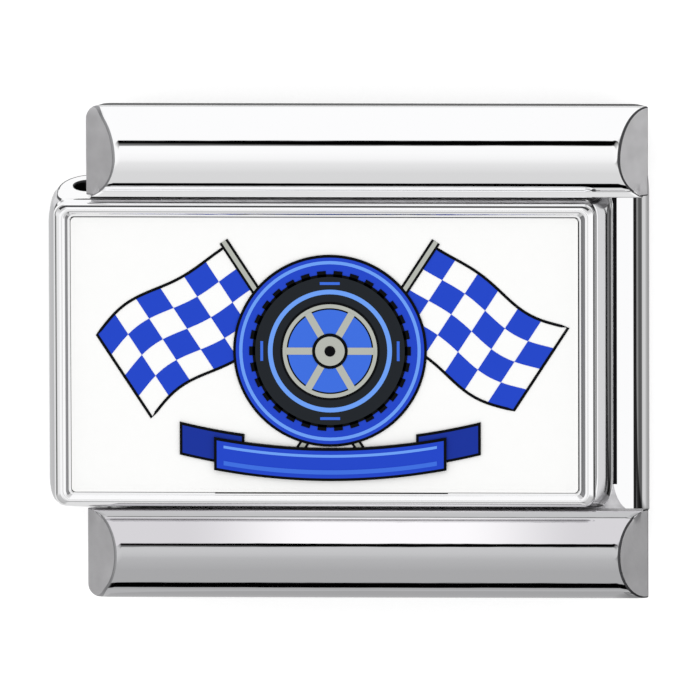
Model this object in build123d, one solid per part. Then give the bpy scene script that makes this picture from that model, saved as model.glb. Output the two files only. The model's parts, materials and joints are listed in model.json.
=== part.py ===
"""One link of a modular charm bracelet, in polished steel with a white enamel face.

Two flattened steel sleeves lie back to back, the front one to the left of the rear one. Each sleeve
is open at its top and bottom ends. A bow closes each pair of ends: a thick rail with a domed front,
and two legs behind it that reach into the slots of both sleeves. The front leg is notched into two
tongues. A bowed leaf spring in each sleeve presses on the legs, so that links can be slid together
and pulled apart. The front sleeve carries a shallow framed tray of white enamel.

Frame, in millimetres: +X runs along the bracelet, +Y across it, +Z out of the face. The link lies on
the back of its rear sleeve, and the origin is at the bottom centre of its bounding box.
"""

import os

from build123d import *

os.makedirs("parts", exist_ok=True)

# --- Driving dimensions, mm ---------------------------------------------------------------------
BAND_WIDTH = 9.00  # across the bracelet, over both rails
HALF_SHIFT = 0.64  # how far the rear sleeve and the bows sit to +X of the front sleeve

FRONT_SLEEVE_LENGTH = 10.26  # along the bracelet
REAR_SLEEVE_LENGTH = 10.08
OUTWARD_WALL = 0.54  # the wall that faces out of the link
INWARD_WALL = 0.32  # the wall that faces the other sleeve
SIDE_WALL = 0.45  # the folded walls left and right of the slot
SLOT_DEPTH = 0.54
SLOT_END_FLAT = 0.02  # what the rounding leaves flat at each end of the slot
OUTWARD_EDGE = 0.38  # rounding between the outward wall and the side
SIDE_FLAT = 0.20  # what the roundings leave flat on the side
MOUTH_SLANT = 0.30  # how much shorter the front sleeve's outward wall is, at each end
SLEEVE_GAP = 0.12  # between the two sleeves

FRAME_MARGIN_LEFT = 0.12  # front sleeve beside the frame
FRAME_MARGIN_RIGHT = 0.365
FRAME_OVERHANG = 0.015  # beyond the front sleeve's outward wall, above and below
FRAME_HEIGHT = 0.42
FRAME_CORNER = 0.22
FRAME_TOP_EDGE = 0.13  # rounding along the frame's outer top edge
FRAME_LIP_EDGE = 0.10  # rounding along the frame's inner top edge
RIM_SIDE = 0.30  # rim left and right of the enamel
RIM_END = 0.25  # rim above and below the enamel
POCKET_DEPTH = 0.30
POCKET_CORNER = 0.08
ENAMEL_THICKNESS = 0.20
ENAMEL_CLEARANCE = 0.01

RAIL_LENGTH = 10.15
RAIL_WIDTH = 1.64  # across the bracelet
RAIL_DOME = 0.53  # rise of the rounded front
DOME_SIDE = 0.17  # rise of its upright sides, before they are rounded
DOME_EDGE = 0.37  # rounding between its sides and its middle arc
RAIL_DROP = 0.12  # from the front sleeve's face down to the foot of the dome
RAIL_LIFT = 0.30  # from the back of the rear sleeve up to the back of the rail
RAIL_TAPER = 0.34  # how far the outer flank leans in, at the back
RAIL_BACK_EDGE = 0.40  # rounding along the outer back edge
RAIL_GAP = 0.11  # between the foot of the dome and the front sleeve's outward wall
END_BEVEL = 0.53  # how far the bevel cuts each end back at the top of the dome
END_TAPER = 0.25  # how far each end is cut back at the back of the rail

LEG_THICKNESS = 0.28
LEG_REACH = 1.75  # into the sleeve, from the end of its outward wall
LEG_CORNER = 0.25
LEG_CLEARANCE = 0.02  # to the inward wall
LEG_END_PLAY = 0.03  # to the end of the front slot, at either end of the shift
TONGUE_NOTCH = 1.20  # between the two front tongues
NOTCH_DEPTH = 1.60

SPRING_THICKNESS = 0.07
SPRING_WIDTH = 6.0  # along the bracelet
SPRING_LENGTH = 4.8  # across the bracelet
SPRING_CLEARANCE = 0.015  # to the outward wall and to the legs

# --- Places worked out from them ----------------------------------------------------------------
FRONT_X = (FRONT_SLEEVE_LENGTH - RAIL_LENGTH) / 4 - HALF_SHIFT / 2
REAR_X = FRONT_X + HALF_SHIFT
SLEEVE_DEPTH = OUTWARD_WALL + SLOT_DEPTH + INWARD_WALL
INWARD_EDGE = SLEEVE_DEPTH - OUTWARD_EDGE - SIDE_FLAT
SLOT_ROUNDING = (SLOT_DEPTH - SLOT_END_FLAT) / 2
FRONT_Z = SLEEVE_DEPTH + SLEEVE_GAP  # inward wall of the front sleeve
FACE_Z = FRONT_Z + SLEEVE_DEPTH  # outward wall of the front sleeve, where the frame sits
RAIL_INNER_Y = BAND_WIDTH / 2 - RAIL_WIDTH  # foot of the top rail's dome
FACE_WIDTH = 2 * (RAIL_INNER_Y - RAIL_GAP)  # outward wall of the front sleeve
BACK_WIDTH = FACE_WIDTH + 2 * MOUTH_SLANT  # its inward wall, and the whole rear sleeve
FRAME_LENGTH = FRONT_SLEEVE_LENGTH - FRAME_MARGIN_LEFT - FRAME_MARGIN_RIGHT
FRAME_WIDTH = FACE_WIDTH + 2 * FRAME_OVERHANG
FRAME_X = FRONT_X + (FRAME_MARGIN_LEFT - FRAME_MARGIN_RIGHT) / 2
DOME_Z = FACE_Z - RAIL_DROP  # foot of the dome
LEG_SPAN = FRONT_SLEEVE_LENGTH - 2 * (SIDE_WALL + SLOT_ROUNDING + HALF_SHIFT + LEG_END_PLAY)
LEG_TIP_Y = FACE_WIDTH / 2 - LEG_REACH
LEG_ROOT_Y = (BAND_WIDTH - RAIL_WIDTH) / 2
FRONT_LEG_Z = FRONT_Z + INWARD_WALL + LEG_CLEARANCE  # underside of the front leg
REAR_LEG_Z = SLEEVE_DEPTH - INWARD_WALL - LEG_CLEARANCE - LEG_THICKNESS


def rounded_block(length, width, height, corner):
    """A plate centred on the origin in X and Y, on Z = 0, with rounded upright corners."""
    return extrude(RectangleRounded(length, width, corner), height)


def sleeve(length, outward_width):
    """A flattened tube along Y, its inward wall on Z = 0 and its outward wall at the top.

    Its ends lean where outward_width differs from BACK_WIDTH, the width of the inward wall.
    """
    body = Location((0, 0, SLEEVE_DEPTH / 2)) * Box(length, 2 * BACK_WIDTH, SLEEVE_DEPTH)
    body = fillet(body.edges().filter_by(Axis.Y).group_by(Axis.Z)[0], INWARD_EDGE)
    body = fillet(body.edges().filter_by(Axis.Y).group_by(Axis.Z)[-1], OUTWARD_EDGE)
    slot = Box(length - 2 * SIDE_WALL, 2 * BACK_WIDTH, SLOT_DEPTH)
    slot = fillet(slot.edges().filter_by(Axis.Y), SLOT_ROUNDING)
    body -= Location((0, 0, INWARD_WALL + SLOT_DEPTH / 2)) * slot
    # The side view that the ends are trimmed to, inward wall first
    inward, outward = BACK_WIDTH / 2, outward_width / 2
    side_view = Plane.YZ * make_face(Polyline(
        (-inward, 0), (inward, 0), (outward, SLEEVE_DEPTH), (-outward, SLEEVE_DEPTH), close=True))
    return body & extrude(side_view, length, both=True)


def leaf_spring():
    """A bowed strip in a sleeve: its middle bears on the outward wall and its ends on the legs."""
    top = INWARD_WALL + SLOT_DEPTH - SPRING_CLEARANCE
    foot = INWARD_WALL + LEG_CLEARANCE + LEG_THICKNESS + SPRING_CLEARANCE
    half = SPRING_LENGTH / 2
    lower = ThreePointArc((-half, foot), (0, top - SPRING_THICKNESS), (half, foot))
    upper = ThreePointArc((-half, foot + SPRING_THICKNESS), (0, top), (half, foot + SPRING_THICKNESS))
    ends = [Line(lower @ end, upper @ end) for end in (0, 1)]
    return extrude(Plane.YZ * make_face([lower, upper] + ends), SPRING_WIDTH / 2, both=True)


def face_frame():
    """The tray on the front sleeve: a rounded rim round a flat pocket."""
    tray = rounded_block(FRAME_LENGTH, FRAME_WIDTH, FRAME_HEIGHT, FRAME_CORNER)
    tray = fillet(tray.faces().sort_by(Axis.Z)[-1].edges(), FRAME_TOP_EDGE)
    pocket = rounded_block(FRAME_LENGTH - 2 * RIM_SIDE, FRAME_WIDTH - 2 * RIM_END, FRAME_HEIGHT,
                           POCKET_CORNER)
    tray -= Location((0, 0, FRAME_HEIGHT - POCKET_DEPTH)) * pocket
    lip = tray.faces().filter_by(Axis.Z).sort_by(Axis.Z)[-1].inner_wires()[0].edges()
    return Location((FRAME_X, 0, FACE_Z)) * fillet(lip, FRAME_LIP_EDGE)


def enamel_panel():
    """The white panel in the tray, its top a little below the rim."""
    panel = rounded_block(FRAME_LENGTH - 2 * (RIM_SIDE + ENAMEL_CLEARANCE),
                          FRAME_WIDTH - 2 * (RIM_END + ENAMEL_CLEARANCE),
                          ENAMEL_THICKNESS, POCKET_CORNER)
    return Location((FRAME_X, 0, FACE_Z + FRAME_HEIGHT - POCKET_DEPTH)) * panel


def rail():
    """The bar of the top bow, along X and centred on X.

    Its inner flank leans back beside the slanted end of the front sleeve, and its outer one leans in,
    so that the bar is slimmer at the back.
    """
    outer, mid = BAND_WIDTH / 2, BAND_WIDTH / 2 - RAIL_WIDTH / 2
    inner_foot = RAIL_INNER_Y + MOUTH_SLANT * (DOME_Z - RAIL_LIFT) / SLEEVE_DEPTH
    side_z = DOME_Z + DOME_SIDE
    dome = ThreePointArc((RAIL_INNER_Y, side_z), (mid, DOME_Z + RAIL_DOME), (outer, side_z))
    sides = Polyline((outer, side_z), (outer, DOME_Z), (outer - RAIL_TAPER, RAIL_LIFT),
                     (inner_foot, RAIL_LIFT), (RAIL_INNER_Y, DOME_Z), (RAIL_INNER_Y, side_z))
    section = make_face([dome, sides])
    section = fillet(section.vertices().group_by(Axis.Y)[-1], DOME_EDGE)
    section = fillet(section.vertices().group_by(Axis.Y)[0].sort_by(Axis.X)[-1], RAIL_BACK_EDGE)
    bar = extrude(Plane.YZ * section, RAIL_LENGTH / 2, both=True)
    # The front view that the ends are trimmed to: tapered to the back, bevelled along the dome
    half, reach = RAIL_LENGTH / 2, 2
    front_view = Plane.XZ * make_face(Polyline(
        (END_TAPER - half, RAIL_LIFT), (half - END_TAPER, RAIL_LIFT), (half, DOME_Z),
        (half - reach * END_BEVEL, DOME_Z + reach * RAIL_DOME),
        (reach * END_BEVEL - half, DOME_Z + reach * RAIL_DOME), (-half, DOME_Z), close=True))
    return bar & extrude(front_view, BAND_WIDTH, both=True)


def leg(underside):
    """A flat leg from the middle of the top rail down to its tip in a sleeve."""
    reach = LEG_ROOT_Y - LEG_TIP_Y
    blade = Box(LEG_SPAN, reach, LEG_THICKNESS)
    blade = fillet(blade.edges().filter_by(Axis.Z).group_by(Axis.Y)[0], LEG_CORNER)
    return Location((0, LEG_TIP_Y + reach / 2, underside + LEG_THICKNESS / 2)) * blade


def top_bow():
    """A rail with its rear leg, and its front leg notched into two tongues."""
    notch = Location((0, LEG_TIP_Y, FRONT_LEG_Z)) * Box(TONGUE_NOTCH, 2 * NOTCH_DEPTH, 3 * LEG_THICKNESS)
    return Location((REAR_X, 0, 0)) * (rail() + leg(REAR_LEG_Z) + (leg(FRONT_LEG_Z) - notch))


front_place = Location((FRONT_X, 0, FRONT_Z))
rear_place = Location((REAR_X, 0, SLEEVE_DEPTH)) * Rot(180, 0, 0)  # turned over
upper_bow = top_bow()

PIECES = {
    "front_sleeve": front_place * sleeve(FRONT_SLEEVE_LENGTH, FACE_WIDTH),
    "front_spring": front_place * leaf_spring(),
    "face_frame": face_frame(),
    "enamel_panel": enamel_panel(),
    "rear_sleeve": rear_place * sleeve(REAR_SLEEVE_LENGTH, BACK_WIDTH),
    "rear_spring": rear_place * leaf_spring(),
    "top_bow": upper_bow,
    "bottom_bow": upper_bow.mirror(Plane.XZ),
}

for name, piece in PIECES.items():
    export_step(piece, f"parts/{name}.step")
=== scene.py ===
"""One link of a modular charm bracelet: polished steel sleeves and bows, and a white enamel face.

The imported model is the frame. Every piece that shows is a finer mesh of the same sizes, taken from
the node that it stands for, and it rides on that node's body. Sizes in the classes are millimetres
times MM, which makes them metres, and the studio's large ones are metres.
"""

from __future__ import annotations

import json
import logging
import math
from collections.abc import Mapping, Sequence
from dataclasses import dataclass, field
from enum import Enum, IntEnum

import bmesh
import bpy
from mathutils import Matrix, Vector


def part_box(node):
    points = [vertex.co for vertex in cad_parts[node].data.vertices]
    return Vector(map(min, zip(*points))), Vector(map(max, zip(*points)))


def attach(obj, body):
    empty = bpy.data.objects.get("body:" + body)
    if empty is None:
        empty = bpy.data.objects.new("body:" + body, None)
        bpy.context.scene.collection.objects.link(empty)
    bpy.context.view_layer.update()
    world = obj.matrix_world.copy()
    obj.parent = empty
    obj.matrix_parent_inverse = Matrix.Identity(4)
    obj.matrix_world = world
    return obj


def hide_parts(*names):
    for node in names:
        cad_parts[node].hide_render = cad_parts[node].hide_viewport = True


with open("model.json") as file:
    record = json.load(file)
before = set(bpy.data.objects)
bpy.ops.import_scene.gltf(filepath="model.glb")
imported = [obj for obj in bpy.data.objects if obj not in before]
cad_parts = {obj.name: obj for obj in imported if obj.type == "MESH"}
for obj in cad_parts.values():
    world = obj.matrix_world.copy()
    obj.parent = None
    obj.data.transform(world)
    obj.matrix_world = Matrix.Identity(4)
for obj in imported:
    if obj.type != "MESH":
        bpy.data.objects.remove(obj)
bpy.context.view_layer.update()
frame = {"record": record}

LOG = logging.getLogger("charm_link")
MM = 0.001
CREASE = 32.0  # degrees between two faces, above which the edge between them stays sharp
EDGE_FROM = 25.0  # degrees between two faces, above which the edge between them gets a bevel
EDGE_SEGMENTS = 3

# The sockets of a colour Mix node go by number, because several share a name
MIX_SHARE, MIX_FIRST, MIX_SECOND, MIXED = 0, 6, 7, 2
WHITE_LIGHT = (1.0, 1.0, 1.0, 1.0)

Point = tuple[float, float]
Triple = tuple[float, float, float]
Stops = tuple[Point, ...]
Colour = tuple[float, float, float, float]
Material = bpy.types.Material
Piece = bpy.types.Object
Socket = bpy.types.NodeSocket
Vertex = bmesh.types.BMVert
Finishes = int | Sequence[int]
Inputs = Mapping[str | int, object]


class Steps(IntEnum):
    """How finely a rounded stretch is divided."""

    EDGE = 4
    CORNER = 20
    DOME = 40


# --- Shared makers --------------------------------------------------------------------------------


def linear(code: str) -> Colour:
    """Turn an sRGB hex colour into linear RGBA.

    Args:
        code: A colour such as "#f2f2f3".

    Returns:
        Red, green, blue and an alpha of 1, in linear light.
    """
    parts = [int(code[at:at + 2], 16) / 255 for at in (1, 3, 5)]
    red, green, blue = (p / 12.92 if p <= 0.04045 else ((p + 0.055) / 1.055) ** 2.4 for p in parts)
    return red, green, blue, 1.0


def darkened(tone: Colour, share: float) -> Colour:
    """A colour with a share of its light taken away."""
    return tuple(part * (1 - share) for part in tone[:3]) + (1.0,)


def add_node(tree: bpy.types.NodeTree, kind: str, inputs: Inputs | None = None,
             **settings: object) -> bpy.types.Node:
    """Add a node to a tree with its settings and its input values or links.

    Args:
        tree: The node tree that gets the node.
        kind: The node's type, such as "ShaderNodeTexNoise".
        inputs: Input name or index to a value, or to the socket that feeds it.
        **settings: Properties of the node itself.

    Returns:
        The new node.
    """
    made = tree.nodes.new(kind)
    for name, value in settings.items():
        setattr(made, name, value)
    for key, value in (inputs or {}).items():
        if isinstance(value, bpy.types.NodeSocket):
            tree.links.new(value, made.inputs[key])
        else:
            made.inputs[key].default_value = value
    return made


def quarter(steps: int) -> list[float]:
    """Angles from 0 to a quarter turn, in even steps."""
    return [math.pi / 2 * step / steps for step in range(steps + 1)]


def corner_loop(half: Point, radii: Sequence[float], steps: int = Steps.CORNER) -> list[Point]:
    """Outline of a rounded rectangle about the origin, anticlockwise from its upper right corner.

    Args:
        half: Half its width and half its height.
        radii: Corner radii: upper right, upper left, lower left, lower right.
        steps: Segments in each corner.

    Returns:
        The outline's points.
    """
    points = []
    for turn, ((side, rise), radius) in enumerate(zip(((1, 1), (-1, 1), (-1, -1), (1, -1)), radii)):
        for angle in quarter(steps):
            angle += math.pi / 2 * turn
            points.append((side * (half[0] - radius) + radius * math.cos(angle),
                           rise * (half[1] - radius) + radius * math.sin(angle)))
    return points


def facing(loop: Sequence[Point]) -> list[float]:
    """Direction, in degrees, that each side of an anticlockwise loop faces."""
    sides = zip(loop, [*loop[1:], loop[0]])
    return [math.degrees(math.atan2(here[0] - after[0], after[1] - here[1])) % 360 for here, after in sides]


def mesh_object(name: str, bm: bmesh.types.BMesh, finishes: Sequence[Material]) -> Piece:
    """Turn a bmesh into a linked object with its materials, normals outwards.

    Args:
        name: The object's name.
        bm: The mesh, which is freed.
        finishes: Materials, in the order of the faces' material indices.

    Returns:
        The new object.
    """
    bmesh.ops.recalc_face_normals(bm, faces=bm.faces)
    mesh = bpy.data.meshes.new(name)
    bm.to_mesh(mesh)
    bm.free()
    for finish in finishes:
        mesh.materials.append(finish)
    piece = bpy.data.objects.new(name, mesh)
    bpy.context.scene.collection.objects.link(piece)
    return piece


def applied(piece: Piece) -> Piece:
    """Replace a piece's mesh by what its modifiers make of it, and remove them.

    Args:
        piece: The piece with its modifiers.

    Returns:
        The same piece, a plain mesh.
    """
    graph = bpy.context.evaluated_depsgraph_get()
    mesh = bpy.data.meshes.new_from_object(piece.evaluated_get(graph))
    piece.modifiers.clear()
    piece.data = mesh
    return piece


def shade(piece: Piece) -> None:
    """Shade a piece smooth, with its creases kept sharp."""
    piece.data.shade_smooth()
    piece.data.set_sharp_from_angle(angle=math.radians(CREASE))


def edge_rounded(piece: Piece, width: float) -> Piece:
    """Round a piece's real edges with a narrow bevel, which catches the light as polished edges do.

    Args:
        piece: The piece.
        width: The bevel's width.

    Returns:
        The same piece.
    """
    bevel = piece.modifiers.new("edges", "BEVEL")
    bevel.width = width
    bevel.segments = EDGE_SEGMENTS
    bevel.limit_method = "ANGLE"
    bevel.angle_limit = math.radians(EDGE_FROM)
    bevel.harden_normals = True
    piece.data.shade_smooth()
    return applied(piece)


def united(name: str, parts: Sequence[Piece]) -> Piece:
    """Fuse overlapping parts into one closed piece.

    Args:
        name: The piece's name.
        parts: The parts, the largest first. They are used up.

    Returns:
        The piece.
    """
    body, *others = parts
    for other in others:
        union = body.modifiers.new("union", "BOOLEAN")
        union.operation = "UNION"
        union.solver = "EXACT"
        union.object = other
    applied(body)
    for other in others:
        bpy.data.objects.remove(other)
    body.name = name
    return body


class Finish(IntEnum):
    """Material indices on the steel pieces."""

    POLISH = 0
    GROUND = 1
    # EDGE: painted shade lines along edges and seams
    EDGE = 2
    # INSIDE: painted shade in and between the sleeves
    INSIDE = 3
    SIDE = 4
    # SOFT_EDGE: painted shade lines, lighter
    SOFT_EDGE = 5
    OUTER = 6
    # Satin a shade darker: painted shade
    SHADED_SATIN = 7


class Skin:
    """A mesh made of rings of points that are joined one to the next.

    A finish is a material index, or one for each side of the ring.
    """

    def __init__(self) -> None:
        """Start with no rings."""
        self.mesh = bmesh.new()
        self.rings: list[list[Vertex]] = []

    def ring(self, points: Sequence[Sequence[float]], finish: Finishes = Finish.POLISH) -> None:
        """Add a ring, and join it to the one before.

        Args:
            points: The ring's points.
            finish: Finish of the faces between it and the ring before.
        """
        made = [self.mesh.verts.new(point) for point in points]
        if self.rings:
            self.join(self.rings[-1], made, finish)
        self.rings.append(made)

    def join(self, one: Sequence[Vertex], other: Sequence[Vertex], finish: Finishes) -> None:
        """Join two rings of the same count with quads.

        Args:
            one: The first ring.
            other: The second ring.
            finish: Finish of the faces between them.
        """
        finishes = [finish] * len(one) if isinstance(finish, int) else finish
        for at, after in zip(range(len(one)), [*range(1, len(one)), 0]):
            face = self.mesh.faces.new((one[at], one[after], other[after], other[at]))
            face.material_index = finishes[at]

    def close(self, finish: Finishes) -> None:
        """Join the last ring to the first."""
        self.join(self.rings[-1], self.rings[0], finish)

    def cap(self, which: int, finish: int = Finish.POLISH) -> None:
        """Fill a ring with one face."""
        self.mesh.faces.new(self.rings[which]).material_index = finish


class Growth:
    """A Geometry Nodes tree with named sizes, grown into a plain mesh."""

    def __init__(self, name: str, sizes: Mapping[str, float | int]) -> None:
        """Make the tree and its inputs.

        Args:
            name: Name of the tree and of the piece.
            sizes: The tree's inputs and their values.
        """
        self.name, self.sizes = name, sizes
        self.tree = bpy.data.node_groups.new(name, "GeometryNodeTree")
        for size, value in sizes.items():
            kind = "NodeSocketInt" if isinstance(value, int) else "NodeSocketFloat"
            self.tree.interface.new_socket(size, in_out="INPUT", socket_type=kind)
        self.tree.interface.new_socket("Geometry", in_out="OUTPUT", socket_type="NodeSocketGeometry")
        self.size = self.tree.nodes.new("NodeGroupInput").outputs

    def add(self, kind: str, inputs: Inputs | None = None, **settings: object) -> Socket:
        """Add a node, and give its first output."""
        return add_node(self.tree, kind, inputs, **settings).outputs[0]

    def piece(self, geometry: Socket, finish: Material) -> Piece:
        """Grow the mesh, in one finish.

        Args:
            geometry: The socket that gives the shape.
            finish: Its material.

        Returns:
            The piece, a plain mesh.
        """
        real = self.add("GeometryNodeRealizeInstances", {"Geometry": geometry})
        dressed = self.add("GeometryNodeSetMaterial", {"Geometry": real, "Material": finish})
        add_node(self.tree, "NodeGroupOutput", {0: dressed})
        piece = mesh_object(self.name, bmesh.new(), ())
        growth = piece.modifiers.new("growth", "NODES")
        growth.node_group = self.tree
        for item in self.tree.interface.items_tree:
            if item.in_out == "INPUT":
                growth[item.identifier] = self.sizes[item.name]
        return applied(piece)


# --- Finishes -------------------------------------------------------------------------------------

# How the hairlines' pattern is squeezed: the lines run along the bracelet or across it
ALONG_BAND = (0.03, 1.0, 1.0)
ACROSS_BAND = (1.0, 0.03, 1.0)


@dataclass(frozen=True)
class Steel:
    """Stainless steel, from mirror-polished to satin.

    The wheel leaves hairlines along its way: they show as a slight streak in the reflections,
    stronger and wider on a satin cut. Real ones are under 0.01 mm wide. They are drawn as wide as
    they need to be to show.
    """

    name: str
    colour: str
    roughness: float
    streak: float = 0.0  # bump strength of the hairlines
    grit: float = 0.03 * MM  # width of a hairline
    along: Triple = ALONG_BAND
    mottle: float = 0.0  # how much the roughness wanders
    cloud: float = 0.0  # how much the tone wanders with it
    clouds: float = 2.4 / MM  # how many of those wanderings there are to a metre: each is about 0.4 mm
    middle: str = ""  # colour of a painted highlight about the middle
    stretch: Triple = (0.64 * MM, 1.3 * MM, 3.7 * MM)  # its centre, and how far out its fade starts and ends

    def material(self) -> Material:
        """Build the material.

        Returns:
            The material.
        """
        made = bpy.data.materials.new(self.name)
        made.use_nodes = True
        tree = made.node_tree
        shader = tree.nodes["Principled BSDF"]
        tone = linear(self.colour)
        shader.inputs["Base Color"].default_value = tone
        shader.inputs["Metallic"].default_value = 1.0
        shader.inputs["Roughness"].default_value = self.roughness
        place = add_node(tree, "ShaderNodeTexCoord").outputs["Object"]
        if self.streak:
            lines = add_node(tree, "ShaderNodeMapping", {
                "Vector": place, "Scale": Vector(self.along) / self.grit})
            noise = add_node(tree, "ShaderNodeTexNoise", {
                "Vector": lines.outputs["Vector"], "Scale": 1.0, "Detail": 3.0})
            bump = add_node(tree, "ShaderNodeBump", {
                "Height": noise.outputs["Fac"], "Strength": self.streak, "Distance": self.grit})
            tree.links.new(bump.outputs["Normal"], shader.inputs["Normal"])
        if self.mottle:
            wander = add_node(tree, "ShaderNodeTexNoise", {
                "Vector": place, "Scale": self.clouds, "Detail": 2.0})
            spread = add_node(tree, "ShaderNodeMapRange", {
                "Value": wander.outputs["Fac"],
                "To Min": self.roughness, "To Max": self.roughness + self.mottle})
            tree.links.new(spread.outputs["Result"], shader.inputs["Roughness"])
            if self.cloud:
                mix = add_node(tree, "ShaderNodeMix", {
                    MIX_SHARE: wander.outputs["Fac"], MIX_FIRST: tone,
                    MIX_SECOND: darkened(tone, self.cloud)}, data_type="RGBA")
                tree.links.new(mix.outputs[MIXED], shader.inputs["Base Color"])
        if self.middle:
            tree.links.new(self.painted_highlight_middle(tree, place, tone), shader.inputs["Base Color"])
        return made

    def painted_highlight_middle(self, tree: bpy.types.NodeTree, place: Socket, tone: Colour) -> Socket:
        """Tone with a painted highlight about the middle of the piece's length.

        Args:
            tree: The material's tree.
            place: The socket with the place on the piece.
            tone: The colour towards the ends.

        Returns:
            The socket with the colour.
        """
        centre, fade, end = self.stretch
        along = add_node(tree, "ShaderNodeSeparateXYZ", {0: place}).outputs["X"]
        offset = add_node(tree, "ShaderNodeMath", {0: along, 1: centre}, operation="SUBTRACT")
        away = add_node(tree, "ShaderNodeMath", {0: offset.outputs[0]}, operation="ABSOLUTE")
        share = add_node(tree, "ShaderNodeMapRange", {
            "Value": away.outputs[0], "From Min": fade, "From Max": end}, interpolation_type="SMOOTHSTEP")
        mix = add_node(tree, "ShaderNodeMix", {
            MIX_SHARE: share.outputs[0], MIX_FIRST: linear(self.middle),
            MIX_SECOND: tone}, data_type="RGBA")
        return mix.outputs[MIXED]


@dataclass(frozen=True)
class Resin:
    """Cold enamel or printing ink: a smooth resin coat, glossy and evenly coloured."""

    name: str
    colour: str
    roughness: float = 0.12
    gloss: float = 0.5  # Blender's specular level: an ink that dries matt has little
    specks: float = 0.02  # how much the tone wanders
    clouds: float = 4.0 / MM  # how many of those wanderings there are to a metre: each is 0.25 mm
    waves: float = 0.5 / MM  # waves to a metre: the coat's surface swings once in 2 mm
    swell: float = 0.05  # bump strength of those waves
    swell_height: float = 0.02 * MM

    def material(self) -> Material:
        """Build the material.

        Returns:
            The material.
        """
        made = bpy.data.materials.new(self.name)
        made.use_nodes = True
        tree = made.node_tree
        shader = tree.nodes["Principled BSDF"]
        shader.inputs["Roughness"].default_value = self.roughness
        shader.inputs["IOR"].default_value = 1.5
        shader.inputs["Specular IOR Level"].default_value = self.gloss
        tone = linear(self.colour)
        place = add_node(tree, "ShaderNodeTexCoord").outputs["Object"]
        cloud = add_node(tree, "ShaderNodeTexNoise", {"Vector": place, "Scale": self.clouds, "Detail": 3.0})
        mix = add_node(tree, "ShaderNodeMix", {
            MIX_SHARE: cloud.outputs["Fac"], MIX_FIRST: tone,
            MIX_SECOND: darkened(tone, self.specks)}, data_type="RGBA")
        tree.links.new(mix.outputs[MIXED], shader.inputs["Base Color"])
        wave = add_node(tree, "ShaderNodeTexNoise", {"Vector": place, "Scale": self.waves, "Detail": 0.0})
        bump = add_node(tree, "ShaderNodeBump", {
            "Height": wave.outputs["Fac"], "Strength": self.swell, "Distance": self.swell_height})
        tree.links.new(bump.outputs["Normal"], shader.inputs["Normal"])
        return made


# Stainless steel, buffed to a mirror: nearly white, and it shows what stands round it sharply.
POLISHED = Steel("mirror_polished_stainless", "#fbfbfc", 0.02).material()
# The same on the frame's narrow bead, which a wheel can't reach as well: the mirror is a little soft.
BEAD = Steel("mirror_polished_bead", "#fbfbfc", 0.05).material()
# The rails are buffed lengthwise: a sharp mirror with the faintest streak along the bracelet.
TOP_RAIL = Steel("mirror_polished_rail", "#fcfcfd", 0.015, streak=0.004, along=ALONG_BAND).material()
# The same mirror, its colour painted shade: greyer towards the ends, with a painted highlight near the
# middle.
LOW_RAIL = Steel("low_rail_painted_shade_and_highlight", "#d6d4d8", 0.02, streak=0.006, along=ALONG_BAND,
                 middle="#fdfbfe").material()
# Painted shade on the outer half of the low rail's dome: a darker mirror colour, with the soft streaks of
# fine brushing.
LOW_OUTER = Steel("low_rail_outer_painted_shade", "#c5c5c7", 0.03, streak=0.01, along=ALONG_BAND).material()
# Fine brushing across the bracelet on the front sleeve's sides blurs the reflections; the greyer colour is
# painted shade.
FINE_SIDE = Steel("fine_brushed_side_painted_shade", "#d3d3d5", 0.12, streak=0.01, along=ACROSS_BAND).material()
# Satin brushing on the rails' outer flanks and backs, with no clear reflection; the greyer colour is painted
# shade.
FLANK = Steel("satin_brushed_flank_painted_shade", "#dededf", 0.24, streak=0.06, along=ALONG_BAND).material()
# Cuts and hidden flanks off the grinding belt: a pale matt grey, clouded, with short coarse lines.
SATIN = Steel("satin_ground_stainless", "#f2f1f3", 0.45, streak=0.05, grit=0.05 * MM, mottle=0.1,
              cloud=0.3).material()
# The same satin, a shade darker as painted shade: the same matt clouds.
SHADED_SATIN = Steel("satin_ground_painted_shade", "#d8d7d9", 0.45, streak=0.05, grit=0.05 * MM, mottle=0.1,
             cloud=0.3).material()
# Painted shade: a thin dark grey line along edges and seams.
SHADE_LINE = Steel("painted_shade_line", "#4c4c4e", 0.35).material()
# Painted shade, lighter: a thin mid-grey line along edges.
SOFT_SHADE_LINE = Steel("painted_soft_shade_line", "#9a9a9c", 0.35).material()
# Painted shade in and between the sleeves: near-black steel with next to no reflection.
SHADE_INSIDE = Steel("painted_shade_steel", "#1c1c1e", 0.55, streak=0.2, mottle=0.1).material()
# Cold-rolled spring strip: a plain grey with soft, streaky reflections.
SPRING = Steel("rolled_spring_steel", "#9a9a9e", 0.3, streak=0.15, mottle=0.1).material()
# Cold enamel, poured and cured: an even white gloss that swells very slightly.
WHITE = Resin("white_cold_enamel", "#fdfdfc").material()


class Ink(Enum):
    """The inks of the printed emblem: opaque pad inks that dry flat, with little gloss."""

    BLACK = Resin("black_pad_ink", "#08090c", 0.4, 0.05)
    TYRE = Resin("charcoal_pad_ink", "#22262b", 0.4, 0.05)
    DEEP = Resin("deep_blue_pad_ink", "#1b349c", 0.4, 0.05)
    ROYAL = Resin("royal_blue_pad_ink", "#2447c9", 0.4, 0.05)
    MID = Resin("mid_blue_pad_ink", "#3f6fe0", 0.4, 0.05)
    LIGHT = Resin("light_blue_pad_ink", "#6ea0f5", 0.4, 0.05)
    GREY = Resin("grey_pad_ink", "#b5b8b0", 0.4, 0.05)


def steels(polish: Material, side: Material | None = None,
           outer: Material | None = None) -> tuple[Material, ...]:
    """The materials of a steel piece, in the order of Finish."""
    return polish, SATIN, SHADE_LINE, SHADE_INSIDE, side or polish, SOFT_SHADE_LINE, outer or polish, SHADED_SATIN


# --- Pieces ---------------------------------------------------------------------------------------


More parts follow.
